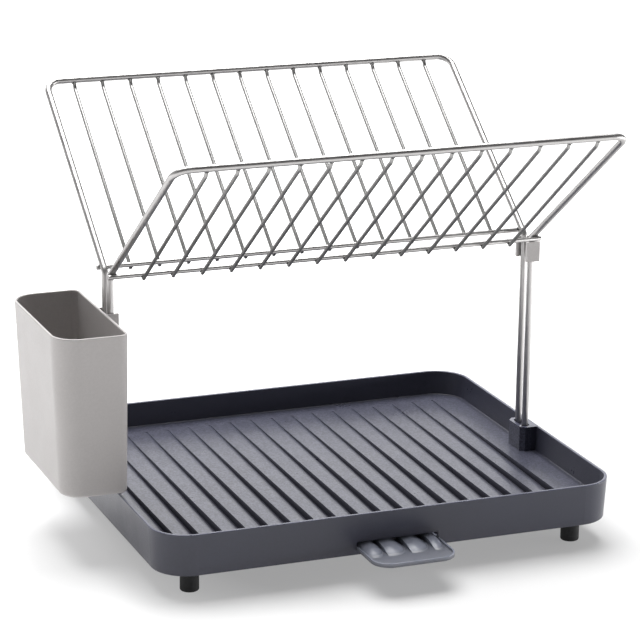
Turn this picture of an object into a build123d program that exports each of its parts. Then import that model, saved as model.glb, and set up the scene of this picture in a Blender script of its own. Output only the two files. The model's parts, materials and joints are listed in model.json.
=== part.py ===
from build123d import *
import math
import os

# Two-tier dish rack: a ribbed drip tray on four feet, two bent-wire wings that stand in
# sockets in the tray and form a Y, a clip that ties their rods, a hanging cutlery pot and
# a drain spout that slides out of the front wall.
# Millimetres, +X right, +Y to the back, +Z up. The parts are modelled about the middle of
# the tray with the floor at Z = 0, and moved to the base centre when they are written.

# ---------------------------------------------------------------- driving dimensions
# Feet and the bosses they push on to.
FOOT_HEIGHT = 20.7
FOOT_RADIUS = 8.0
FOOT_X, FOOT_Y = 173.0, 147.0
FOOT_WALL_TOP = 25.6
BOSS_RADIUS = 5.0
BOSS_BOTTOM = 13.0

# Drip tray.
TRAY_HALF_X, TRAY_HALF_Y = 206.0, 173.1
TRAY_CORNER = 32.0
TRAY_HEIGHT = 36.5
TRAY_DRAFT = 2.0
TRAY_WALL = 2.8
RIM_FILLET, BASE_FILLET, BASIN_FILLET = 0.8, 1.5, 1.0
RIM_Z = FOOT_HEIGHT + TRAY_HEIGHT
FLOOR_Z = FOOT_HEIGHT + 14.0
UNDER_FRONT_Z = FOOT_HEIGHT + 4.6
UNDER_BACK_Z = FOOT_HEIGHT + 10.9

# Saw-tooth grooves in its floor.
GROOVE_COUNT = 18
GROOVE_PITCH = 20.42
GROOVE_LAST_X = 173.2
GROOVE_FRONT_Y, GROOVE_BACK_Y = -168.6, 150.0
GROOVE_CORNER_Y = -156.0
GROOVE_FRONT_DEPTH, GROOVE_BACK_DEPTH = 7.4, 0.5
GROOVE_FRONT_WIDTH, GROOVE_BACK_WIDTH = 15.0, 3.0

# Pocket for the spout and the gutters that lead to it.
POCKET_HALF_X = 37.0
POCKET_CORNER = 2.4
POCKET_BACK_Y = -118.0
POCKET_BOTTOM_Z = FOOT_HEIGHT + 4.1
POCKET_TOP_Z = FOOT_HEIGHT + 11.5
POCKET_WALL = 4.0
GUTTER_WIDTH = 8.0
GUTTER_END_X = 171.0
GUTTER_BOTTOM_Z = FOOT_HEIGHT + 6.4
SCOOP_HALF_X, SCOOP_HEIGHT, SCOOP_REACH = 37.0, 9.0, 3.0

# Drain spout.
SPOUT_X = 1.2
SPOUT_HALF_X = 36.6
SPOUT_BACK_Y, SPOUT_FRONT_Y = -160.0, -218.5
SPOUT_CORNER = 16.0
SPOUT_BOTTOM_Z = FOOT_HEIGHT + 4.4
SPOUT_RIM_Z = FOOT_HEIGHT + 8.0
SPOUT_RIM_WIDTH, SPOUT_RIM_FILLET = 1.6, 0.5
SPOUT_VALLEY_Z = FOOT_HEIGHT + 6.2
SPOUT_LIP_Z = FOOT_HEIGHT + 5.7
LOBE_XS = (-35.6, -17.9, 2.9, 23.7, 35.6)
LOBE_CROWN_Z = FOOT_HEIGHT + 10.9
LOBE_FADE = ((-177.0, 1.0), (-184.0, 0.8), (-191.0, 0.38), (-198.0, 0.0))

# Sockets for the leg rods.
SOCKET_INNER_X = 188.0
SOCKET_HALF_Y = 15.0
SOCKET_CHAMFER = 4.0
BORE_CLEARANCE = 0.2
BORE_BOTTOM_Z = FOOT_HEIGHT + 10.0
RECESS_WIDTH, RECESS_LENGTH, RECESS_DEPTH = 8.0, 22.5, 2.0

# Wings: one bent rod each, with a lower bar and cross wires welded under it.
ROD_X, ROD_Y = 195.0, 7.0
ROD_RADIUS = 2.9
ROD_BOTTOM_Z = FOOT_HEIGHT + 10.3
TOP_BAR_Y, TOP_BAR_Z = 180.7, FOOT_HEIGHT + 340.4
ELBOW_RADIUS = 8.0
TOP_CORNER_RADIUS = 13.0
LOWER_BAR_Y, LOWER_BAR_Z = 16.8, FOOT_HEIGHT + 212.7
LOWER_BAR_RADIUS = 2.0
LOWER_BAR_END = 1.7
WIRE_COUNT = 14
WIRE_PITCH = 26.0
WIRE_RADIUS = 1.6
WIRE_OVERSHOOT = 1.5
WIRE_KINK = 8.0
WELD = 0.3

# Rod clip.
CLIP_INNER_X = 189.2
CLIP_TOP_Z = FOOT_HEIGHT + 208.3
CLIP_HEIGHT = 18.0
CLIP_GAP, CLIP_WEB_GAP = 0.3, 2.4
CLIP_THICK = 2.0
CLIP_LIP = 1.6

# Cutlery pot.
POT_RIM_Z, POT_BOTTOM_Z = FOOT_HEIGHT + 179.0, FOOT_HEIGHT + 39.5
POT_INNER_X, POT_OUTER_X = -199.0, -261.3
POT_BASE_INNER_X, POT_BASE_OUTER_X = -199.6, -255.0
POT_HALF_Y, POT_BASE_HALF_Y = 74.0, 69.0
POT_BIG_CORNER, POT_BASE_BIG_CORNER = 22.0, 18.0
POT_SMALL_CORNER, POT_BASE_SMALL_CORNER = 8.0, 6.0
POT_WALL = 2.4
POT_FLOOR = 2.5
POT_BASE_FILLET, POT_RIM_FILLET = 4.0, 1.0

os.makedirs("parts", exist_ok=True)

# The written frame has its origin at the centre of the whole object's base.
REAR_LIMIT_Y = TOP_BAR_Y + ROD_RADIUS
CENTRE_X = -(POT_OUTER_X + TRAY_HALF_X) / 2
CENTRE_Y = -(SPOUT_FRONT_Y + REAR_LIMIT_Y) / 2
TO_BASE_CENTRE = Location((CENTRE_X, CENTRE_Y, 0))


def write(piece, label, place=Location()):
    """Name a finished piece, set it in the base-centred frame and write its STEP file."""
    placed = piece.part.moved(TO_BASE_CENTRE * place)
    placed.label = label
    export_step(placed, f"parts/{label}.step")


# ---------------------------------------------------------------- drip tray
def groove_end(fraction):
    """Depth and width of a groove, from 0 at its back end to 1 at the front wall."""
    depth = GROOVE_BACK_DEPTH + fraction * (GROOVE_FRONT_DEPTH - GROOVE_BACK_DEPTH)
    width = GROOVE_BACK_WIDTH + fraction * (GROOVE_FRONT_WIDTH - GROOVE_BACK_WIDTH)
    return depth, width


def groove_profile(step_x, y, fraction):
    """Saw-tooth section: a steep step on the right and a long curved slope on the left."""
    depth, width = groove_end(fraction)
    plane = Plane(origin=(step_x, y, FLOOR_Z), x_dir=(1, 0, 0), z_dir=(0, -1, 0))
    with BuildSketch(plane) as section:
        with BuildLine():
            Polyline((-0.12 * depth, -depth), (0, 0), (0, 1.0), (-width, 1.0), (-width, 0))
            ThreePointArc((-width, 0), (-0.42 * width, -0.36 * depth), (-0.12 * depth, -depth))
        make_face()
    return section.sketch


def underside_z(y):
    """Height of the floor's sloping underside."""
    rise = (y + under_half_y) / (2 * under_half_y)
    return UNDER_FRONT_Z + rise * (UNDER_BACK_Z - UNDER_FRONT_Z)


groove_xs = [GROOVE_LAST_X - GROOVE_PITCH * i for i in range(GROOVE_COUNT)]
inner_x = TRAY_HALF_X - TRAY_WALL
inner_y = TRAY_HALF_Y - TRAY_WALL
floor_inset = TRAY_DRAFT * (RIM_Z - FLOOR_Z) / TRAY_HEIGHT
under_half_y = inner_y - TRAY_DRAFT - 1.0

with BuildPart() as under_hollow:
    with BuildSketch(Plane.YZ.offset(-inner_x + TRAY_WALL)):
        with BuildLine():
            Polyline((-under_half_y, FOOT_HEIGHT - 1), (under_half_y, FOOT_HEIGHT - 1),
                     (under_half_y, UNDER_BACK_Z), (-under_half_y, UNDER_FRONT_Z), close=True)
        make_face()
    extrude(amount=2 * (inner_x - TRAY_WALL))
    fillet(under_hollow.edges().filter_by(Axis.Z), radius=TRAY_CORNER - TRAY_WALL)
    for side in (-1, 1):
        with Locations((side * (SOCKET_INNER_X + 6), 0, FOOT_HEIGHT)):
            Box(20, 2 * SOCKET_HALF_Y + 4, 40, mode=Mode.SUBTRACT)
    pocket_depth = POCKET_BACK_Y + TRAY_HALF_Y + POCKET_WALL
    with Locations((SPOUT_X, -TRAY_HALF_Y + pocket_depth / 2, FOOT_HEIGHT)):
        Box(2 * (POCKET_HALF_X + POCKET_WALL), pocket_depth, 40, mode=Mode.SUBTRACT)

with BuildPart() as drip_tray:
    with BuildSketch(Plane.XY.offset(FOOT_HEIGHT)):
        RectangleRounded(2 * (TRAY_HALF_X - TRAY_DRAFT), 2 * (TRAY_HALF_Y - TRAY_DRAFT),
                         TRAY_CORNER - TRAY_DRAFT)
    with BuildSketch(Plane.XY.offset(RIM_Z)):
        RectangleRounded(2 * TRAY_HALF_X, 2 * TRAY_HALF_Y, TRAY_CORNER)
    loft(ruled=True)
    # The basin, down to the level of the rib tops.
    with BuildSketch(Plane.XY.offset(FLOOR_Z)):
        RectangleRounded(2 * (inner_x - floor_inset), 2 * (inner_y - floor_inset),
                         TRAY_CORNER - TRAY_WALL - floor_inset)
    with BuildSketch(Plane.XY.offset(RIM_Z)):
        RectangleRounded(2 * inner_x, 2 * inner_y, TRAY_CORNER - TRAY_WALL)
    loft(ruled=True, mode=Mode.SUBTRACT)
    fillet(drip_tray.edges().group_by(Axis.Z)[-1], radius=RIM_FILLET)
    fillet(drip_tray.faces().sort_by(Axis.Z)[0].edges(), radius=BASE_FILLET)
    basin_floor = drip_tray.faces().filter_by(lambda face: abs(face.center().Z - FLOOR_Z) < 0.01)
    fillet(basin_floor.edges(), radius=BASIN_FILLET)
    add(under_hollow.part, mode=Mode.SUBTRACT)
    # Socket blocks for the leg rods, moulded against the short walls.
    for side in (-1, 1):
        wall_x = inner_x + RIM_FILLET + 0.1
        with BuildSketch(Plane.XY.offset(FLOOR_Z - 4)):
            with BuildLine():
                Polyline((side * wall_x, -SOCKET_HALF_Y),
                         (side * (SOCKET_INNER_X + SOCKET_CHAMFER), -SOCKET_HALF_Y),
                         (side * SOCKET_INNER_X, -SOCKET_HALF_Y + SOCKET_CHAMFER),
                         (side * SOCKET_INNER_X, SOCKET_HALF_Y - SOCKET_CHAMFER),
                         (side * (SOCKET_INNER_X + SOCKET_CHAMFER), SOCKET_HALF_Y),
                         (side * wall_x, SOCKET_HALF_Y), close=True)
            make_face()
        extrude(amount=RIM_Z - FLOOR_Z + 4)
    # Saw-tooth grooves, shallow at the back and deep at the front, so that water runs forward.
    for step_x in groove_xs:
        front_y = GROOVE_FRONT_Y
        if abs(step_x - SPOUT_X - 5) < POCKET_HALF_X + 10:
            front_y = POCKET_BACK_Y - 2
        if step_x == groove_xs[-1]:
            front_y = GROOVE_CORNER_Y
        fraction = (GROOVE_BACK_Y - front_y) / (GROOVE_BACK_Y - GROOVE_FRONT_Y)
        loft([groove_profile(step_x, front_y, fraction), groove_profile(step_x, GROOVE_BACK_Y, 0)],
             ruled=True, mode=Mode.SUBTRACT)
    # Pocket and wall slot for the spout, with a gutter behind it and one along the front wall.
    with BuildSketch(Plane.XZ.offset(-POCKET_BACK_Y)):
        with Locations((SPOUT_X, (POCKET_BOTTOM_Z + POCKET_TOP_Z) / 2)):
            pocket_mouth = Rectangle(2 * POCKET_HALF_X, POCKET_TOP_Z - POCKET_BOTTOM_Z)
        fillet(pocket_mouth.vertices().group_by(Axis.Y)[-1], radius=POCKET_CORNER)
    extrude(amount=POCKET_BACK_Y + TRAY_HALF_Y + 3, mode=Mode.SUBTRACT)
    gutter_height = FLOOR_Z + 1 - GUTTER_BOTTOM_Z
    gutter_z = GUTTER_BOTTOM_Z + gutter_height / 2
    with Locations((SPOUT_X, POCKET_BACK_Y - GUTTER_WIDTH / 2, gutter_z)):
        Box(2 * POCKET_HALF_X, GUTTER_WIDTH, gutter_height, mode=Mode.SUBTRACT)
    gutter_length = GUTTER_END_X - POCKET_HALF_X + 1
    for side in (-1, 1):
        with Locations((side * (GUTTER_END_X - gutter_length / 2),
                        GROOVE_FRONT_Y + GUTTER_WIDTH / 2, gutter_z)):
            Box(gutter_length, GUTTER_WIDTH, gutter_height, mode=Mode.SUBTRACT)
    # Thumb scoop in the wall above the spout.
    with BuildSketch(Plane.XZ.offset(TRAY_HALF_Y + 1)):
        with Locations((SPOUT_X, POCKET_TOP_Z - 1)):
            Ellipse(SCOOP_HALF_X, SCOOP_HEIGHT)
        with Locations((SPOUT_X, POCKET_TOP_Z - 1 - SCOOP_HEIGHT)):
            Rectangle(2 * SCOOP_HALF_X + 4, 2 * SCOOP_HEIGHT, mode=Mode.SUBTRACT)
    extrude(amount=-SCOOP_REACH, mode=Mode.SUBTRACT)
    # Recess and two rod bores in each socket block.
    for side in (-1, 1):
        with BuildSketch(Plane.XY.offset(RIM_Z)):
            with Locations((side * ROD_X, 0)):
                RectangleRounded(RECESS_WIDTH, RECESS_LENGTH, RECESS_WIDTH / 2 - 0.1)
        extrude(amount=-RECESS_DEPTH, mode=Mode.SUBTRACT)
        with BuildSketch(Plane.XY.offset(RIM_Z)):
            with Locations((side * ROD_X, -ROD_Y), (side * ROD_X, ROD_Y)):
                Circle(ROD_RADIUS + BORE_CLEARANCE)
        extrude(amount=BORE_BOTTOM_Z - RIM_Z, mode=Mode.SUBTRACT)
    # Bosses that the rubber feet push on to.
    for boss_y in (-FOOT_Y, FOOT_Y):
        with BuildSketch(Plane.XY.offset(BOSS_BOTTOM)):
            with Locations((-FOOT_X, boss_y), (FOOT_X, boss_y)):
                Circle(BOSS_RADIUS)
        extrude(amount=underside_z(boss_y) + 1.2 - BOSS_BOTTOM)
write(drip_tray, "drip_tray")

# ---------------------------------------------------------------- feet
foot_places = {"front_left": (-1, -1), "front_right": (1, -1),
               "rear_left": (-1, 1), "rear_right": (1, 1)}
for place, (side_x, side_y) in foot_places.items():
    with BuildPart() as foot:
        with BuildSketch():
            with Locations((side_x * FOOT_X, side_y * FOOT_Y)):
                Circle(FOOT_RADIUS)
        extrude(amount=FOOT_WALL_TOP)
        fillet(foot.edges().group_by(Axis.Z)[0], radius=1.5)
        with BuildSketch(Plane.XY.offset(FOOT_WALL_TOP)):
            with Locations((side_x * FOOT_X, side_y * FOOT_Y)):
                Circle(BOSS_RADIUS)
        extrude(amount=BOSS_BOTTOM - FOOT_WALL_TOP, mode=Mode.SUBTRACT)
    write(foot, f"foot_{place}")

# ---------------------------------------------------------------- drain spout
def lobe_profile(left_x, right_x, y, share):
    """Section of one rib: a left edge, a crown, and a fall to the valley on the right."""
    plane = Plane(origin=(0, y, 0), x_dir=(1, 0, 0), z_dir=(0, -1, 0))
    width = right_x - left_x
    base_z = SPOUT_BOTTOM_Z + 0.1
    rib_z = base_z + 1.0
    height = share * (LOBE_CROWN_Z - rib_z)
    left_z = rib_z + height * (0.1 if left_x == LOBE_XS[0] else 0.85)
    with BuildSketch(plane) as section:
        with BuildLine():
            Polyline((right_x, base_z + 0.2), (right_x, base_z), (left_x, base_z), (left_x, left_z))
            ThreePointArc((left_x, left_z), (left_x + 0.45 * width, rib_z + height),
                          (right_x, base_z + 0.2))
        make_face()
    return section.sketch


def spout_outline(inset, front_y):
    """Plan of the spout: straight sides and two round front corners."""
    half_x = SPOUT_HALF_X - inset
    radius = SPOUT_CORNER - inset
    offset = radius * (1 - math.sqrt(0.5))
    with BuildSketch() as plan:
        with BuildLine():
            Polyline((-half_x, front_y + radius), (-half_x, SPOUT_BACK_Y),
                     (half_x, SPOUT_BACK_Y), (half_x, front_y + radius))
            ThreePointArc((half_x, front_y + radius), (half_x - offset, front_y + offset),
                          (half_x - radius, front_y))
            Line((half_x - radius, front_y), (-half_x + radius, front_y))
            ThreePointArc((-half_x + radius, front_y), (-half_x + offset, front_y + offset),
                          (-half_x, front_y + radius))
        make_face()
    return plan.sketch


with BuildPart() as dish:
    with BuildSketch(Plane.YZ.offset(-SPOUT_HALF_X)):
        with BuildLine():
            Polyline((SPOUT_BACK_Y + 1, SPOUT_VALLEY_Z), (-TRAY_HALF_Y, SPOUT_VALLEY_Z),
                     (SPOUT_FRONT_Y, SPOUT_LIP_Z), (SPOUT_FRONT_Y, SPOUT_RIM_Z + 1),
                     (SPOUT_BACK_Y + 1, SPOUT_RIM_Z + 1), close=True)
        make_face()
    extrude(amount=2 * SPOUT_HALF_X)
    with BuildSketch(Plane.XY.offset(SPOUT_LIP_Z - 1)):
        add(spout_outline(SPOUT_RIM_WIDTH, SPOUT_FRONT_Y + SPOUT_RIM_WIDTH))
        Rectangle(2 * (SPOUT_HALF_X - SPOUT_RIM_WIDTH), -2 * SPOUT_BACK_Y + 4)
    extrude(amount=20, mode=Mode.INTERSECT)

with BuildPart() as drain_spout:
    with BuildSketch(Plane.XY.offset(SPOUT_BOTTOM_Z)):
        add(spout_outline(0, SPOUT_FRONT_Y))
    extrude(amount=SPOUT_RIM_Z - SPOUT_BOTTOM_Z)
    add(dish.part, mode=Mode.SUBTRACT)
    fillet(drain_spout.edges().group_by(Axis.Z)[-1], radius=SPOUT_RIM_FILLET)
    for left_x, right_x in zip(LOBE_XS[:-1], LOBE_XS[1:]):
        sections = [lobe_profile(left_x, right_x, SPOUT_BACK_Y, 1.0)]
        for y, share in LOBE_FADE:
            sections.append(lobe_profile(left_x, right_x, y, share))
        loft(sections, ruled=True)
write(drain_spout, "drain_spout", Location((SPOUT_X, 0, 0)))


# ---------------------------------------------------------------- wings
slope = math.atan2(TOP_BAR_Z - LOWER_BAR_Z, TOP_BAR_Y - LOWER_BAR_Y)
wing_length = math.hypot(TOP_BAR_Z - LOWER_BAR_Z, TOP_BAR_Y - LOWER_BAR_Y)
wire_offset = LOWER_BAR_RADIUS + WIRE_RADIUS - WELD
# The side rods run from the top bar to just over the lower bar, which is welded under them.
bar_drop = ROD_RADIUS + LOWER_BAR_RADIUS - WELD
rod_slope = slope - math.asin(bar_drop / wing_length)
ELBOW_Z = TOP_BAR_Z - (TOP_BAR_Y - ROD_Y) * math.tan(rod_slope)


def on_wing(x, side, along, below):
    """Point of a wing: distance up the slope from the lower bar, and distance under its plane."""
    y = LOWER_BAR_Y + along * math.cos(slope) + below * math.sin(slope)
    z = LOWER_BAR_Z + along * math.sin(slope) - below * math.cos(slope)
    return (x, side * y, z)


for name, side in (("front", -1), ("rear", 1)):
    with BuildPart() as frame:
        with BuildLine():
            FilletPolyline((-ROD_X, side * ROD_Y, ROD_BOTTOM_Z), (-ROD_X, side * ROD_Y, ELBOW_Z),
                           (-ROD_X, side * TOP_BAR_Y, TOP_BAR_Z), (ROD_X, side * TOP_BAR_Y, TOP_BAR_Z),
                           (ROD_X, side * ROD_Y, ELBOW_Z), (ROD_X, side * ROD_Y, ROD_BOTTOM_Z),
                           radius=[ELBOW_RADIUS, TOP_CORNER_RADIUS, TOP_CORNER_RADIUS, ELBOW_RADIUS])
        with BuildSketch(Plane.XY.offset(ROD_BOTTOM_Z)):
            with Locations((-ROD_X, side * ROD_Y)):
                Circle(ROD_RADIUS)
        sweep()
    write(frame, f"{name}_frame")

    with BuildPart() as lower_bar:
        bar_half = ROD_X + ROD_RADIUS + LOWER_BAR_END
        with BuildSketch(Plane.YZ.offset(-bar_half)):
            with Locations((side * LOWER_BAR_Y, LOWER_BAR_Z)):
                Circle(LOWER_BAR_RADIUS)
        extrude(amount=2 * bar_half)
    write(lower_bar, f"{name}_lower_bar")

    for i in range(WIRE_COUNT):
        wire_x = (i - (WIRE_COUNT - 1) / 2) * WIRE_PITCH
        with BuildPart() as wire:
            with BuildLine() as wire_path:
                FilletPolyline(on_wing(wire_x, side, -WIRE_OVERSHOOT, wire_offset),
                               on_wing(wire_x, side, wing_length - WIRE_KINK, wire_offset),
                               on_wing(wire_x, side, wing_length - ROD_RADIUS + 0.6, 0.8), radius=5.0)
            with BuildSketch(Plane(origin=wire_path.line @ 0, z_dir=wire_path.line % 0)):
                Circle(WIRE_RADIUS)
            sweep()
        write(wire, f"{name}_wire_{i + 1:02d}")

# ---------------------------------------------------------------- rod clip
clip_inner_y = ROD_Y + ROD_RADIUS + CLIP_GAP
clip_outer_y = clip_inner_y + CLIP_THICK
web_inner_x = ROD_X + ROD_RADIUS + CLIP_WEB_GAP
with BuildPart() as rod_clip:
    with BuildSketch(Plane.XY.offset(CLIP_TOP_Z - CLIP_HEIGHT)):
        clip_length = web_inner_x + CLIP_THICK - CLIP_INNER_X
        with Locations((CLIP_INNER_X + clip_length / 2, 0)):
            Rectangle(clip_length, 2 * clip_outer_y)
        with Locations(((CLIP_INNER_X + web_inner_x) / 2, 0)):
            Rectangle(web_inner_x - CLIP_INNER_X, 2 * clip_inner_y, mode=Mode.SUBTRACT)
        for side in (-1, 1):
            with Locations((CLIP_INNER_X + CLIP_THICK / 2, side * (clip_inner_y - CLIP_LIP / 2))):
                Rectangle(CLIP_THICK, CLIP_LIP)
    extrude(amount=CLIP_HEIGHT)
    fillet(rod_clip.edges().filter_by(Axis.Z).sort_by(Axis.X)[-2:], radius=1.5)
write(rod_clip, "rod_clip")

# ---------------------------------------------------------------- cutlery pot
def pot_section(z, inset):
    """Plan of the pot at a height: round outboard corners, tight inboard corners."""
    rise = (z - POT_BOTTOM_Z) / (POT_RIM_Z - POT_BOTTOM_Z)
    outer = POT_BASE_OUTER_X + rise * (POT_OUTER_X - POT_BASE_OUTER_X) + inset
    inner = POT_BASE_INNER_X + rise * (POT_INNER_X - POT_BASE_INNER_X) - inset
    half = POT_BASE_HALF_Y + rise * (POT_HALF_Y - POT_BASE_HALF_Y) - inset
    big = POT_BASE_BIG_CORNER + rise * (POT_BIG_CORNER - POT_BASE_BIG_CORNER) - inset
    small = POT_BASE_SMALL_CORNER + rise * (POT_SMALL_CORNER - POT_BASE_SMALL_CORNER) - inset
    with BuildSketch(Plane.XY.offset(z)) as section:
        with BuildLine():
            Polyline((outer, -half), (inner, -half), (inner, half), (outer, half), close=True)
        make_face()
        corners = section.vertices().group_by(Axis.X)
        fillet(corners[0], radius=big)
        fillet(section.vertices().group_by(Axis.X)[-1], radius=small)
    return section.sketch


with BuildPart() as cutlery_pot:
    loft([pot_section(POT_BOTTOM_Z, 0), pot_section(POT_RIM_Z, 0)], ruled=True)
    fillet(cutlery_pot.edges().group_by(Axis.Z)[0], radius=POT_BASE_FILLET)
    loft([pot_section(POT_BOTTOM_Z + POT_FLOOR, POT_WALL), pot_section(POT_RIM_Z + 1, POT_WALL)],
         ruled=True, mode=Mode.SUBTRACT)
    fillet(cutlery_pot.edges().group_by(Axis.Z)[-1], radius=POT_RIM_FILLET)
    # Hook arms that snap round the two rods of the left leg.
    arm_root_x = POT_INNER_X - POT_WALL / 2
    lip_x = -CLIP_INNER_X - CLIP_THICK
    for side in (-1, 1):
        with BuildSketch(Plane.XY.offset(POT_RIM_Z - CLIP_HEIGHT)):
            with BuildLine():
                Polyline((arm_root_x, side * clip_inner_y), (lip_x, side * clip_inner_y),
                         (lip_x, side * (clip_inner_y - CLIP_LIP)),
                         (-CLIP_INNER_X, side * (clip_inner_y - CLIP_LIP)),
                         (-CLIP_INNER_X, side * clip_outer_y),
                         (arm_root_x, side * clip_outer_y), close=True)
            make_face()
        extrude(amount=CLIP_HEIGHT)
write(cutlery_pot, "cutlery_pot")
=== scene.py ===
import json
import math

import bmesh
import bpy
from mathutils import Matrix, Vector, noise


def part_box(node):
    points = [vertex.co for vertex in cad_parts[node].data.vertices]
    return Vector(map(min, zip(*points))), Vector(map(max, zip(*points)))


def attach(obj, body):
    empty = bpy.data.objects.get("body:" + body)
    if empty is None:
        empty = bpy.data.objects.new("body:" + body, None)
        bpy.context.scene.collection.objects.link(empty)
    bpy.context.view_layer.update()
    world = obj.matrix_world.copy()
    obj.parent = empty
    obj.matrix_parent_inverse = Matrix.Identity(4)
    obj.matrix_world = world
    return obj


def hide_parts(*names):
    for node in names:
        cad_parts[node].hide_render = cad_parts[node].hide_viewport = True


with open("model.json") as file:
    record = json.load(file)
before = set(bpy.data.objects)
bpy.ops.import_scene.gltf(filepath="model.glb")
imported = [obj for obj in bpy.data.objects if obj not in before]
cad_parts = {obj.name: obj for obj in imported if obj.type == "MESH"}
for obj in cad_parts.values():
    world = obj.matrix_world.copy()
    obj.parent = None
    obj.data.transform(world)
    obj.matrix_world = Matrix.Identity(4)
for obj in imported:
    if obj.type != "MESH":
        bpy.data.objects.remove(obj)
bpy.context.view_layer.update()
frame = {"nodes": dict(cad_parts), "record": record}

NODES = frame["nodes"]
MM = 0.001
UP = Vector((0, 0, 1))


# ------------------------------------------------------------------ camera
# Where the camera stands in metres, how it is turned in radians, and its lens.
CAMERA_PLACE = Vector((-0.83510, -2.15741, 0.85788))
CAMERA_YAW, CAMERA_PITCH, CAMERA_ROLL = 0.376615, 0.284900, 0.0116556
FOCAL_MM = 157.502


def make_camera():
    forward = Vector((math.sin(CAMERA_YAW) * math.cos(CAMERA_PITCH),
                      math.cos(CAMERA_YAW) * math.cos(CAMERA_PITCH), -math.sin(CAMERA_PITCH)))
    level = Vector((math.cos(CAMERA_YAW), -math.sin(CAMERA_YAW), 0))
    upright = level.cross(forward)
    c, s = math.cos(CAMERA_ROLL), math.sin(CAMERA_ROLL)
    right = c * level + s * upright
    up = -s * level + c * upright
    data = bpy.data.cameras.new("camera")
    data.lens = FOCAL_MM
    data.sensor_width = 36.0
    data.clip_start, data.clip_end = 0.05, 100.0
    camera = bpy.data.objects.new("camera", data)
    rows = (right, up, -forward)
    camera.matrix_world = Matrix([[rows[j][i] for j in range(3)] + [CAMERA_PLACE[i]] for i in range(3)]
                                 + [[0, 0, 0, 1]])
    bpy.context.scene.collection.objects.link(camera)
    bpy.context.scene.camera = camera


# ------------------------------------------------------------------ node helpers
class Shader:
    """A material with a Principled shader and short ways to add and link nodes."""

    def __init__(self, name):
        self.material = bpy.data.materials.new(name)
        self.material.use_nodes = True
        self.tree = self.material.node_tree
        self.bsdf = self.tree.nodes["Principled BSDF"]
        self.place = self.add("ShaderNodeTexCoord").outputs["Object"]

    def add(self, kind, **settings):
        node = self.tree.nodes.new(kind)
        for key, value in settings.items():
            setattr(node, key, value)
        return node

    def link(self, output, target):
        self.tree.links.new(output, target)

    def noise(self, vector, scale, detail=2.0, roughness=0.5):
        node = self.add("ShaderNodeTexNoise")
        node.inputs["Scale"].default_value = scale
        node.inputs["Detail"].default_value = detail
        node.inputs["Roughness"].default_value = roughness
        self.link(vector, node.inputs["Vector"])
        return node.outputs["Fac"]

    def span(self, value, low, high, from_low=0.3, from_high=0.7):
        node = self.add("ShaderNodeMapRange")
        node.inputs["From Min"].default_value = from_low
        node.inputs["From Max"].default_value = from_high
        node.inputs["To Min"].default_value = low
        node.inputs["To Max"].default_value = high
        self.link(value, node.inputs["Value"])
        return node.outputs["Result"]

    def vector(self, operation, first, second=None):
        node = self.add("ShaderNodeVectorMath", operation=operation)
        self.link(first, node.inputs[0])
        if second is not None:
            node.inputs[1].default_value = second
        return node.outputs["Vector"]

    def maths(self, operation, first, second):
        node = self.add("ShaderNodeMath", operation=operation)
        for value, socket in zip((first, second), node.inputs):
            if hasattr(value, "default_value"):
                self.link(value, socket)
            else:
                socket.default_value = value
        return node.outputs["Value"]

    def split(self, vector):
        node = self.add("ShaderNodeSeparateXYZ")
        self.link(vector, node.inputs[0])
        return list(node.outputs)

    def blend(self, factor, first, second):
        node = self.add("ShaderNodeMix", data_type="RGBA")
        for slot, value in (("A", first), ("B", second)):
            socket = [s for s in node.inputs if s.name == slot and s.type == "RGBA"][0]
            if hasattr(value, "default_value"):
                self.link(value, socket)
            else:
                socket.default_value = (*value, 1.0)
        factor_socket = [s for s in node.inputs if s.name == "Factor" and s.type == "VALUE"][0]
        self.link(factor, factor_socket)
        return [s for s in node.outputs if s.type == "RGBA"][0]

    def bump(self, height, distance, strength=1.0, below=None):
        node = self.add("ShaderNodeBump")
        node.inputs["Distance"].default_value = distance
        node.inputs["Strength"].default_value = strength
        self.link(height, node.inputs["Height"])
        if below is not None:
            self.link(below, node.inputs["Normal"])
        return node.outputs["Normal"]

    def set(self, name, value):
        socket = self.bsdf.inputs[name]
        if hasattr(value, "default_value"):
            self.link(value, socket)
        else:
            socket.default_value = value


def shade(colour, factor):
    return tuple(channel * factor for channel in colour)


def around(value, spread):
    return value + spread[0], value + spread[1]


# Every noise is given as its cells per metre, its detail and, where it isn't plain, its roughness.
CLOUDS, WAVES = (9.0, 3.0), (26.0, 1.0)
SMUDGES, SPECKS, TEXTURE = (38.0, 4.0, 0.6), (560.0, 2.0, 0.7), (1500.0, 2.0, 0.6)
WAVE_HEIGHT, COARSE_GRAIN, FINE_GRAIN, GRAIN_STRENGTH = 0.12 * MM, 0.12 * MM, 0.02 * MM, 0.6

# Shades of the plain colour, and the noise values between which the specks come in.
CLOUD_SHADES, SPECK_SHADE, SPECK_SPAN, SPECK_STRENGTH = (0.95, 1.05), 1.12, (0.35, 0.75), 0.6
RIB_SPECK_SHADE, RIB_SPECK_SPAN = 1.7, (0.4, 0.65)
# The painted highlight on the rims, then the painted shade deep in the grooves.
RIM_HIGHLIGHT_SHADE, GROOVE_PAINTED_SHADE = 2.0, 0.75

# Shares of the plastic's own gloss on the ribs, from plain to speck, then the gloss in the grooves.
RIB_GLOSS, GROOVE_GLOSS = (0.85, 1.5), 0.15

# The share of the plastic's roughness left under the painted rim highlight, and how far smudges move it down
# and up.
RIM_HIGHLIGHT_ROUGHNESS, SMUDGE_SPREAD = 0.6, (-0.04, 0.05)

# The heights between which the tray's rim and the spout turn from plain plastic to a painted highlight, paler
# and smoother.
TRAY_LOW, TRAY_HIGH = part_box("drip_tray")
TRAY_RIM_HIGHLIGHT = (TRAY_HIGH.z - 0.9 * MM, TRAY_HIGH.z - 0.4 * MM)
SPOUT_RIM_HIGHLIGHT = (26.3 * MM, 28.4 * MM)

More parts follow.
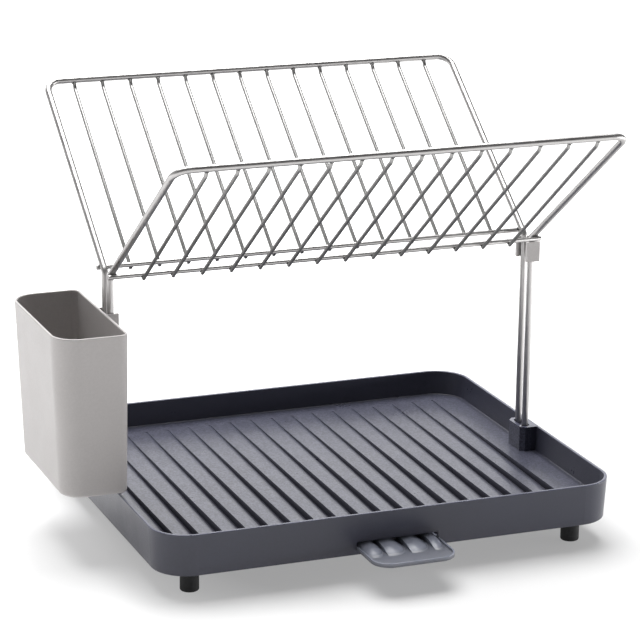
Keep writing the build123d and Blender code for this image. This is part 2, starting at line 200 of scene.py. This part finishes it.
# The grooves turn dull and dark between two depths under the basin's floor, which is at the ribs' tops:
# painted shade in the grooves.
BASIN_FLOOR, GROOVE_START, GROOVE_DULLEST = 34.7 * MM, 0.15 * MM, 2.6 * MM

# How far the basin lies inside the tray's box, and how much its corners are cut off.
BASIN_INSET, BASIN_CORNER_CUT = Vector((8 * MM, 8 * MM, 0)), 12 * MM


def paint_rim_highlight(shader, heights, roughness, tint, base, rough):
    """Plastic that turns paler and smoother between the two heights, and stays so above them: a painted
    highlight.
    """
    highlighted = shader.span(shader.split(shader.place)[2], 0.0, 1.0, *heights)
    base = shader.blend(highlighted, base, shade(tint, RIM_HIGHLIGHT_SHADE))
    rough = shader.blend(highlighted, rough, shade((1.0, 1.0, 1.0), roughness * RIM_HIGHLIGHT_ROUGHNESS))
    return base, rough


def inside_basin(shader):
    """1 inside the tray's walls, without its rounded corners, and 0 elsewhere."""
    off_centre = shader.vector("SUBTRACT", shader.place, (TRAY_LOW + TRAY_HIGH) / 2)
    reach = shader.vector("ABSOLUTE", off_centre)
    limit = (TRAY_HIGH - TRAY_LOW) / 2 - BASIN_INSET
    beyond_x, beyond_y, _ = shader.split(shader.vector("SUBTRACT", reach, limit))
    inside = shader.maths("LESS_THAN", shader.maths("MAXIMUM", beyond_x, beyond_y), 0.0)
    clear = shader.maths("LESS_THAN", shader.maths("ADD", beyond_x, beyond_y), -BASIN_CORNER_CUT)
    return shader.maths("MULTIPLY", inside, clear)


def shade_basin(shader, specks, specular, colour, tint, base):
    """Grainy ribs in the basin, and painted shade in the grooves, which turn dull and dark with their depth.
    """
    inside = inside_basin(shader)
    grainy = shader.maths("MULTIPLY", inside, shader.span(specks, 0.0, 1.0, *RIB_SPECK_SPAN))
    base = shader.blend(grainy, base, shade(tint, RIB_SPECK_SHADE))
    gloss = shader.span(grainy, specular * RIB_GLOSS[0], specular * RIB_GLOSS[1], 0.0, 1.0)
    height = shader.split(shader.place)[2]
    # Painted shade: the grooves get darker and duller with their depth.
    depth = shader.span(height, 1.0, 0.0, BASIN_FLOOR - GROOVE_DULLEST, BASIN_FLOOR - GROOVE_START)
    painted_shade = shader.maths("MULTIPLY", depth, inside)
    base = shader.blend(painted_shade, base, shade(colour, GROOVE_PAINTED_SHADE))
    gloss = shader.blend(painted_shade, gloss, (GROOVE_GLOSS, GROOVE_GLOSS, GROOVE_GLOSS))
    return base, gloss


def moulded_plastic(name, colour, roughness, grain, specular, cool=(1.0, 1.0, 1.0),
                    highlight_heights=None, is_tray=False):
    """Moulded plastic with an eroded mould texture, faint flow clouds and fine specks.

    Between the two highlight heights it turns pale and smooth, a painted highlight. The tray's ribs and
    grooves are shaded apart, the grooves with painted shade.
    """
    shader = Shader(name)
    clouds = shader.noise(shader.place, *CLOUDS)
    specks = shader.noise(shader.place, *SPECKS)
    smudges = shader.noise(shader.place, *SMUDGES)
    tint = tuple(a * b for a, b in zip(colour, cool))
    dark_cloud, pale_cloud = shade(colour, CLOUD_SHADES[0]), shade(tint, CLOUD_SHADES[1])
    base = shader.blend(shader.span(clouds, 0.0, 1.0), dark_cloud, pale_cloud)
    base = shader.blend(shader.span(specks, 0.0, SPECK_STRENGTH, *SPECK_SPAN), base, shade(tint, SPECK_SHADE))
    rough = shader.span(smudges, *around(roughness, SMUDGE_SPREAD))
    gloss = specular
    # Paler, smoother plastic along the rims: a painted highlight.
    if highlight_heights:
        base, rough = paint_rim_highlight(shader, highlight_heights, roughness, tint, base, rough)
    # Grain on the ribs, and painted shade in the grooves.
    if is_tray:
        base, gloss = shade_basin(shader, specks, specular, colour, tint, base)
    shader.set("Base Color", base)
    shader.set("Roughness", rough)
    shader.set("Specular IOR Level", gloss)
    wave = shader.bump(shader.noise(shader.place, *WAVES), WAVE_HEIGHT)
    texture = shader.noise(shader.place, *TEXTURE)
    shader.set("Normal", shader.bump(texture, grain, GRAIN_STRENGTH, wave))
    return shader.material


# Die lines are stretched along the wire: few cells per metre along it and many round it.
DIE_LINE_STRETCH, DIE_LINES = (9.0, 2400.0, 1.0), (1.0, 2.0, 0.65)
DIE_LINE_DEPTH, DIE_LINE_STRENGTH, DIE_LINE_SHADE = 0.01 * MM, 0.5, 0.9
HANDLED, HANDLED_SPREAD = (60.0, 3.0, 0.6), (-0.05, 0.08)


def drawn_steel(name, colour, roughness, edge):
    """Drawn stainless wire, with die lines read from its UV map in metres and a tint at grazing angles."""
    shader = Shader(name)
    run = shader.add("ShaderNodeUVMap", uv_map="UVMap").outputs["UV"]
    stretch = shader.add("ShaderNodeMapping")
    stretch.inputs["Scale"].default_value = DIE_LINE_STRETCH
    shader.link(run, stretch.inputs["Vector"])
    lines = shader.noise(stretch.outputs["Vector"], *DIE_LINES)
    handled = shader.noise(shader.place, *HANDLED)
    lined = shader.blend(shader.span(lines, 0.0, 1.0), shade(colour, DIE_LINE_SHADE), colour)
    shader.set("Base Color", lined)
    shader.set("Roughness", shader.span(handled, *around(roughness, HANDLED_SPREAD)))
    shader.set("Metallic", 1.0)
    shader.set("Specular Tint", (edge, edge, edge, 1.0))
    shader.set("Normal", shader.bump(lines, DIE_LINE_DEPTH, DIE_LINE_STRENGTH))
    return shader.material


DUST, DUST_SPAN, DUST_SHADE = (220.0, 4.0, 0.7), (0.4, 0.8), 2.2
PORES, PORE_DEPTH, PORE_STRENGTH = (1500.0, 2.0), 0.06 * MM, 0.7
RUBBER_ROUGHNESS, RUBBER_GLOSS = (0.62, 0.85), 0.35


def rubber(name, colour):
    """Matt rubber with a little dust in its pores."""
    shader = Shader(name)
    dust = shader.noise(shader.place, *DUST)
    dusty = shader.span(dust, 0.0, 1.0, *DUST_SPAN)
    shader.set("Base Color", shader.blend(dusty, colour, shade(colour, DUST_SHADE)))
    shader.set("Roughness", shader.span(dust, *RUBBER_ROUGHNESS))
    pores = shader.noise(shader.place, *PORES)
    shader.set("Normal", shader.bump(pores, PORE_DEPTH, PORE_STRENGTH))
    shader.set("Specular IOR Level", RUBBER_GLOSS)
    return shader.material


# ------------------------------------------------------------------ mesh helpers
def new_piece(name, mesh, materials, body, slot, *stands_for):
    """A visual piece that moves with its body and takes the place of the named CAD nodes."""
    for material in materials:
        mesh.materials.append(material)
    piece = bpy.data.objects.new(name, mesh)
    bpy.context.scene.collection.objects.link(piece)
    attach(piece, body)
    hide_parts(*stands_for)


def rounded_path(corners, radii, steps):
    """The corners joined by straight runs, with an arc of the given radius at each inner one."""
    path = [Vector(corners[0])]
    for before, corner, after, radius in zip(corners, corners[1:], corners[2:], radii):
        corner = Vector(corner)
        back = (Vector(before) - corner).normalized()
        ahead = (Vector(after) - corner).normalized()
        half = back.angle(ahead) / 2
        reach = radius / math.tan(half)
        centre = corner + (back + ahead).normalized() * (radius / math.sin(half))
        first = corner + back * reach - centre
        last = corner + ahead * reach - centre
        turn = first.angle(last)
        for i in range(steps + 1):
            t = i / steps
            from_first = math.sin((1 - t) * turn) / math.sin(turn)
            from_last = math.sin(t * turn) / math.sin(turn)
            path.append(centre + first * from_first + last * from_last)
    path.append(Vector(corners[-1]))
    return path


# How far along the wire and out from its end face a softened end goes, as shares of its bevel.
BEVEL_STEPS = ((0.0, 0.0), (0.3, 0.7), (1.0, 1.0))


def add_tube(bm, layer, path, radius, sides, bevel):
    """A closed round wire along the path, with softened ends. U runs along it and V round it, in metres."""
    tangents = []
    for i in range(len(path)):
        tangents.append((path[min(i + 1, len(path) - 1)] - path[max(i - 1, 0)]).normalized())
    side = tangents[0].orthogonal().normalized()
    stations = []
    run = 0.0
    for i, point in enumerate(path):
        if i:
            run += (point - path[i - 1]).length
            side = (side - tangents[i] * side.dot(tangents[i])).normalized()
        stations.append((point, tangents[i], side.copy(), run, radius))
    first, last = stations[0], stations[-1]
    head = [(first[0] + first[1] * bevel * d, first[1], first[2], bevel * d, radius - bevel + bevel * r)
            for d, r in BEVEL_STEPS]
    tail = [(last[0] - last[1] * bevel * d, last[1], last[2], run - bevel * d, radius - bevel + bevel * r)
            for d, r in reversed(BEVEL_STEPS)]
    rings = []
    for point, ahead, across, at, size in head + stations[1:-1] + tail:
        other = ahead.cross(across)
        ring = []
        for k in range(sides):
            angle = 2 * math.pi * k / sides
            ring.append(bm.verts.new(point + (across * math.cos(angle) + other * math.sin(angle)) * size))
        rings.append((ring, at))
    girth = 2 * math.pi * radius
    for (ring, at), (following, later) in zip(rings, rings[1:]):
        for k in range(sides):
            face = bm.faces.new((ring[k], ring[(k + 1) % sides], following[(k + 1) % sides], following[k]))
            face.smooth = True
            round_a, round_b = girth * k / sides, girth * (k + 1) / sides
            corners = ((at, round_a), (at, round_b), (later, round_b), (later, round_a))
            for loop, uv in zip(face.loops, corners):
                loop[layer].uv = uv
    bm.faces.new(list(reversed(rings[0][0])))
    bm.faces.new(rings[-1][0])


# How lumpy a weld bead is, how fine its lumps are, and what moves them from one bead to the next.
LUMP_HEIGHT, LUMP_SCALE, LUMP_SHIFT = 0.08, 1.7, (3.1, 1.7)


def add_weld(bm, layer, centre, along_bar, along_wire, size, seed):
    """A small bead of squeezed-out metal where a wire crosses a bar."""
    across = along_bar.cross(along_wire).normalized()
    made = bmesh.ops.create_icosphere(bm, subdivisions=3, radius=1.0)["verts"]
    shift = Vector((seed * LUMP_SHIFT[0], seed * LUMP_SHIFT[1], 0.0))
    for vert in made:
        lump = 1.0 + LUMP_HEIGHT * noise.noise(vert.co * LUMP_SCALE + shift)
        local = vert.co * lump
        stretched = Vector(a * b for a, b in zip(local, size))
        vert.co = centre + along_bar * stretched.x + along_wire * stretched.y + across * stretched.z
    for face in {f for v in made for f in v.link_faces}:
        face.smooth = True
        face.material_index = 1
        for loop in face.loops:
            loop[layer].uv = (loop.vert.co.x, loop.vert.co.z)


def mesh_from(bm, name):
    mesh = bpy.data.meshes.new(name)
    bm.to_mesh(mesh)
    bm.free()
    return mesh


# ------------------------------------------------------------------ the wings
WIRE_COUNT = 14
ROD_RADIUS, LOWER_RADIUS, WIRE_RADIUS = 2.9 * MM, 2.0 * MM, 1.6 * MM
ELBOW_RADIUS, TOP_RADIUS, KINK_RADIUS = 8 * MM, 13 * MM, 5 * MM
WELD_DEPTH = 0.3 * MM
WIRE_OVERSHOOT, WIRE_KINK = 1.5 * MM, 8 * MM

# Half sizes of the weld beads: along the bar, along the wire, and across both. The bead at a wire's
# tip lies turned, so its second size points under the wing and its third along the wire.
ROD_WELD = (3.3 * MM, 2.4 * MM, 1.1 * MM)
WIRE_WELD = (2.3 * MM, 1.9 * MM, 0.95 * MM)
TIP_WELD = (2.15 * MM, 2.0 * MM, 0.9 * MM)
WELD_SINK = 0.1 * MM
ROD_WELD_SEED, WIRE_WELD_SEED, TIP_WELD_SEED = 900, 0.37, 5.1

# Where a wire's tip and its bead stand against the top bar: up the wing, then under it.
TIP_UP, TIP_UNDER = 0.6 * MM, 0.8 * MM
TIP_WELD_UP, TIP_WELD_UNDER = 0.25 * MM, 1.0 * MM

# Sides round each tube and the softening of its ends.
ROD_MESH, BAR_MESH, WIRE_MESH = (40, 0.5 * MM), (28, 0.2 * MM), (24, 0.35 * MM)
ROD_ARC_STEPS, WIRE_ARC_STEPS = 14, 8


def build_wing(wing, steel, shaded_wire_steel, weld_steel):
    """The wing's bent rod with its lower bar, and its wires, each with their weld beads."""
    low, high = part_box(f"{wing}_frame")
    bar_low, bar_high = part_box(f"{wing}_lower_bar")
    out = -1 if wing == "front" else 1
    rod_xs = (low.x + ROD_RADIUS, high.x - ROD_RADIUS)
    leg_y = high.y - ROD_RADIUS if out < 0 else low.y + ROD_RADIUS
    top_y = low.y + ROD_RADIUS if out < 0 else high.y - ROD_RADIUS
    top_z = high.z - ROD_RADIUS
    bar = (bar_low + bar_high) / 2
    slope = math.atan2(top_z - bar.z, abs(top_y - bar.y))
    length = math.hypot(top_z - bar.z, top_y - bar.y)
    rod_slope = slope - math.asin((ROD_RADIUS + LOWER_RADIUS - WELD_DEPTH) / length)
    elbow_z = top_z - abs(top_y - leg_y) * math.tan(rod_slope)
    body = f"{wing}_wing"

    corners = [(rod_xs[0], leg_y, low.z), (rod_xs[0], leg_y, elbow_z), (rod_xs[0], top_y, top_z),
               (rod_xs[1], top_y, top_z), (rod_xs[1], leg_y, elbow_z), (rod_xs[1], leg_y, low.z)]
    bm = bmesh.new()
    layer = bm.loops.layers.uv.new("UVMap")
    radii = (ELBOW_RADIUS, TOP_RADIUS, TOP_RADIUS, ELBOW_RADIUS)
    add_tube(bm, layer, rounded_path(corners, radii, ROD_ARC_STEPS), ROD_RADIUS, *ROD_MESH)
    bar_ends = [Vector((bar_low.x, bar.y, bar.z)), Vector((bar_high.x, bar.y, bar.z))]
    add_tube(bm, layer, bar_ends, LOWER_RADIUS, *BAR_MESH)
    up = Vector((0, out * math.cos(slope), math.sin(slope)))
    under = Vector((0, out * math.sin(slope), -math.cos(slope)))
    offset = LOWER_RADIUS + WIRE_RADIUS - WELD_DEPTH
    along = Vector((1, 0, 0))
    for x in rod_xs:
        crossing = Vector((x, bar.y, bar.z)) - under * (LOWER_RADIUS - WELD_SINK)
        add_weld(bm, layer, crossing, along, up, ROD_WELD, x * ROD_WELD_SEED)
    frame_mesh = mesh_from(bm, f"{wing}_wing_frame")
    new_piece(f"{wing}_wing_frame", frame_mesh, (steel, weld_steel), body, "steel_wire",
              f"{wing}_frame", f"{wing}_lower_bar")

    bm = bmesh.new()
    layer = bm.loops.layers.uv.new("UVMap")
    foot = Vector((0, bar.y, bar.z))
    for i in range(WIRE_COUNT):
        box_low, box_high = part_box(f"{wing}_wire_{i + 1:02d}")
        at = foot + along * ((box_low.x + box_high.x) / 2)
        path = [at - up * WIRE_OVERSHOOT + under * offset,
                at + up * (length - WIRE_KINK) + under * offset,
                at + up * (length - ROD_RADIUS + TIP_UP) + under * TIP_UNDER]
        add_tube(bm, layer, rounded_path(path, (KINK_RADIUS,), WIRE_ARC_STEPS), WIRE_RADIUS, *WIRE_MESH)
        crossing = at + under * (LOWER_RADIUS - WELD_SINK)
        add_weld(bm, layer, crossing, along, up, WIRE_WELD, i + out * WIRE_WELD_SEED)
        tip = at + up * (length - ROD_RADIUS + TIP_WELD_UP) + under * TIP_WELD_UNDER
        add_weld(bm, layer, tip, along, under, TIP_WELD, i + out * TIP_WELD_SEED)
    wires_mesh = mesh_from(bm, f"{wing}_wing_wires")
    new_piece(f"{wing}_wing_wires", wires_mesh, (shaded_wire_steel, weld_steel), body, "steel_wire",
              *[f"{wing}_wire_{i + 1:02d}" for i in range(WIRE_COUNT)])


# ------------------------------------------------------------------ studio
FLOOR_RADIUS, FLOOR_DROP = 14.0, 0.2 * MM
FLOOR_GREYS, FLOOR_DRIFT = (0.50, 0.52), (0.7, 1.0)
FLOOR_ROUGHNESS, FLOOR_GLOSS = 0.9, 0.1

# The floor glows faintly round the object and brightly further out: near and far distance, then glow.
FLOOR_GLOW = (0.22, 0.68, 0.32, 0.95)
FLOOR_DIM_CENTRE = (0.10, -0.02, 0.0)

# The room and its backdrop glow towards a side: the span of nearness to it, then the span of glow.
ROOM_SIDE = (-0.15, 1.0, 0.0)
ROOM_RAMP = (-0.6, 0.5, 0.10, 0.46)
ZENITH_RAMP = (0.25, 0.7, 1.0, 0.5)
BACKDROP_SIDE = (0.1, 0.98, 0.17)
BACKDROP_RAMP = (0.62, 0.98, 0.0, 1.12)

# Each light's name, place, aim, size in metres and power in watts.
LIGHTS = (("top", (0.05, 0.8, 2.15), (0, 0, 0), (2.0, 2.0), 97),
          ("low_left", (-1.6, 0.5, 0.09), (0, 0, 0.09), (1.2, 0.16), 1.8),
          ("low_right", (1.6, -0.5, 0.09), (0, 0, 0.09), (1.2, 0.16), 12))


def make_floor():
    """A pale plain floor that glows further out, so that it runs into the background."""
    bm = bmesh.new()
    bmesh.ops.create_circle(bm, cap_ends=True, segments=96, radius=FLOOR_RADIUS)
    floor = bpy.data.objects.new("studio_floor", mesh_from(bm, "studio_floor"))
    bpy.context.scene.collection.objects.link(floor)
    shader = Shader("studio_floor")
    drift = shader.noise(shader.place, *FLOOR_DRIFT)
    dark, pale = [(grey, grey, grey) for grey in FLOOR_GREYS]
    shader.set("Base Color", shader.blend(shader.span(drift, 0.0, 1.0), dark, pale))
    shader.set("Emission Color", (1.0, 1.0, 1.0, 1.0))
    reach = shader.add("ShaderNodeVectorMath", operation="DISTANCE")
    shader.link(shader.place, reach.inputs[0])
    reach.inputs[1].default_value = FLOOR_DIM_CENTRE
    inner, outer, near_glow, far_glow = FLOOR_GLOW
    shader.set("Emission Strength", shader.span(reach.outputs["Value"], near_glow, far_glow, inner, outer))
    shader.set("Roughness", FLOOR_ROUGHNESS)
    shader.set("Specular IOR Level", FLOOR_GLOSS)
    floor.data.materials.append(shader.material)
    floor.location.z = -FLOOR_DROP


def make_world():
    """A dim studio, brighter behind the object, with a glowing backdrop low at the back."""
    world = bpy.data.worlds.new("studio")
    world.use_nodes = True
    tree = world.node_tree
    background = tree.nodes["Background"]
    place = tree.nodes.new("ShaderNodeTexCoord").outputs["Generated"]

    def ramp(value, spans):
        node = tree.nodes.new("ShaderNodeMapRange")
        node.interpolation_type = "SMOOTHSTEP"
        for name, number in zip(("From Min", "From Max", "To Min", "To Max"), spans):
            node.inputs[name].default_value = number
        tree.links.new(value, node.inputs["Value"])
        return node.outputs["Result"]

    def toward(direction):
        node = tree.nodes.new("ShaderNodeVectorMath")
        node.operation = "DOT_PRODUCT"
        node.inputs[1].default_value = Vector(direction).normalized()
        tree.links.new(place, node.inputs[0])
        return node.outputs["Value"]

    def combine(operation, first, second):
        node = tree.nodes.new("ShaderNodeMath")
        node.operation = operation
        tree.links.new(first, node.inputs[0])
        tree.links.new(second, node.inputs[1])
        return node.outputs["Value"]

    room = combine("MULTIPLY", ramp(toward(ROOM_SIDE), ROOM_RAMP), ramp(toward(UP), ZENITH_RAMP))
    strength = combine("ADD", room, ramp(toward(BACKDROP_SIDE), BACKDROP_RAMP))
    background.inputs["Color"].default_value = (1.0, 1.0, 1.0, 1.0)
    tree.links.new(strength, background.inputs["Strength"])
    bpy.context.scene.world = world


def soft_light(name, place, aim, size, power):
    data = bpy.data.lights.new(name, "AREA")
    data.shape = "RECTANGLE"
    data.size, data.size_y = size
    data.energy = power
    light = bpy.data.objects.new(name, data)
    light.location = place
    light.rotation_euler = (Vector(aim) - Vector(place)).to_track_quat("-Z", "Y").to_euler()
    bpy.context.scene.collection.objects.link(light)


make_camera()
make_floor()
make_world()
for light in LIGHTS:
    soft_light(*light)
bpy.context.scene.view_settings.view_transform = "Standard"

# ------------------------------------------------------------------ the pieces
COOL = (0.96, 1.0, 1.06)
slate = moulded_plastic("slate_plastic", (0.051, 0.051, 0.069), 0.31, COARSE_GRAIN, 0.5, COOL,
                        TRAY_RIM_HIGHLIGHT, is_tray=True)
# The spout's slate is paler than the tray's: painted light, to brighten the spout.
lit_spout_slate = moulded_plastic("lit_spout_slate_plastic", (0.122, 0.124, 0.142), 0.34, FINE_GRAIN, 0.6, COOL,
                              SPOUT_RIM_HIGHLIGHT)
stone = moulded_plastic("stone_plastic", (0.445, 0.424, 0.418), 0.42, FINE_GRAIN, 0.45)
steel = drawn_steel("drawn_steel", (0.50, 0.49, 0.485), 0.36, 0.6)
# The wires' steel is the frame's steel made darker, with a dimmer edge tint: painted shade that tones down
# their highlights.
shaded_wire_steel = drawn_steel("drawn_wire_steel", (0.39, 0.385, 0.38), 0.42, 0.22)
weld_steel = drawn_steel("weld_steel", (0.10, 0.099, 0.098), 0.5, 0.3)
black_rubber = rubber("black_rubber", (0.018, 0.018, 0.019))

BY_SLOT = {"tray_plastic": slate, "pot_plastic": stone, "steel_wire": steel, "foot_rubber": black_rubber}
for part in frame["record"]["subparts"]:
    NODES[part["node"]].data.materials[0] = BY_SLOT[part["material_slot"]]
# The spout takes the paler slate, painted light on it.
NODES["drain_spout"].data.materials[0] = lit_spout_slate

build_wing("front", steel, shaded_wire_steel, weld_steel)
build_wing("rear", steel, shaded_wire_steel, weld_steel)
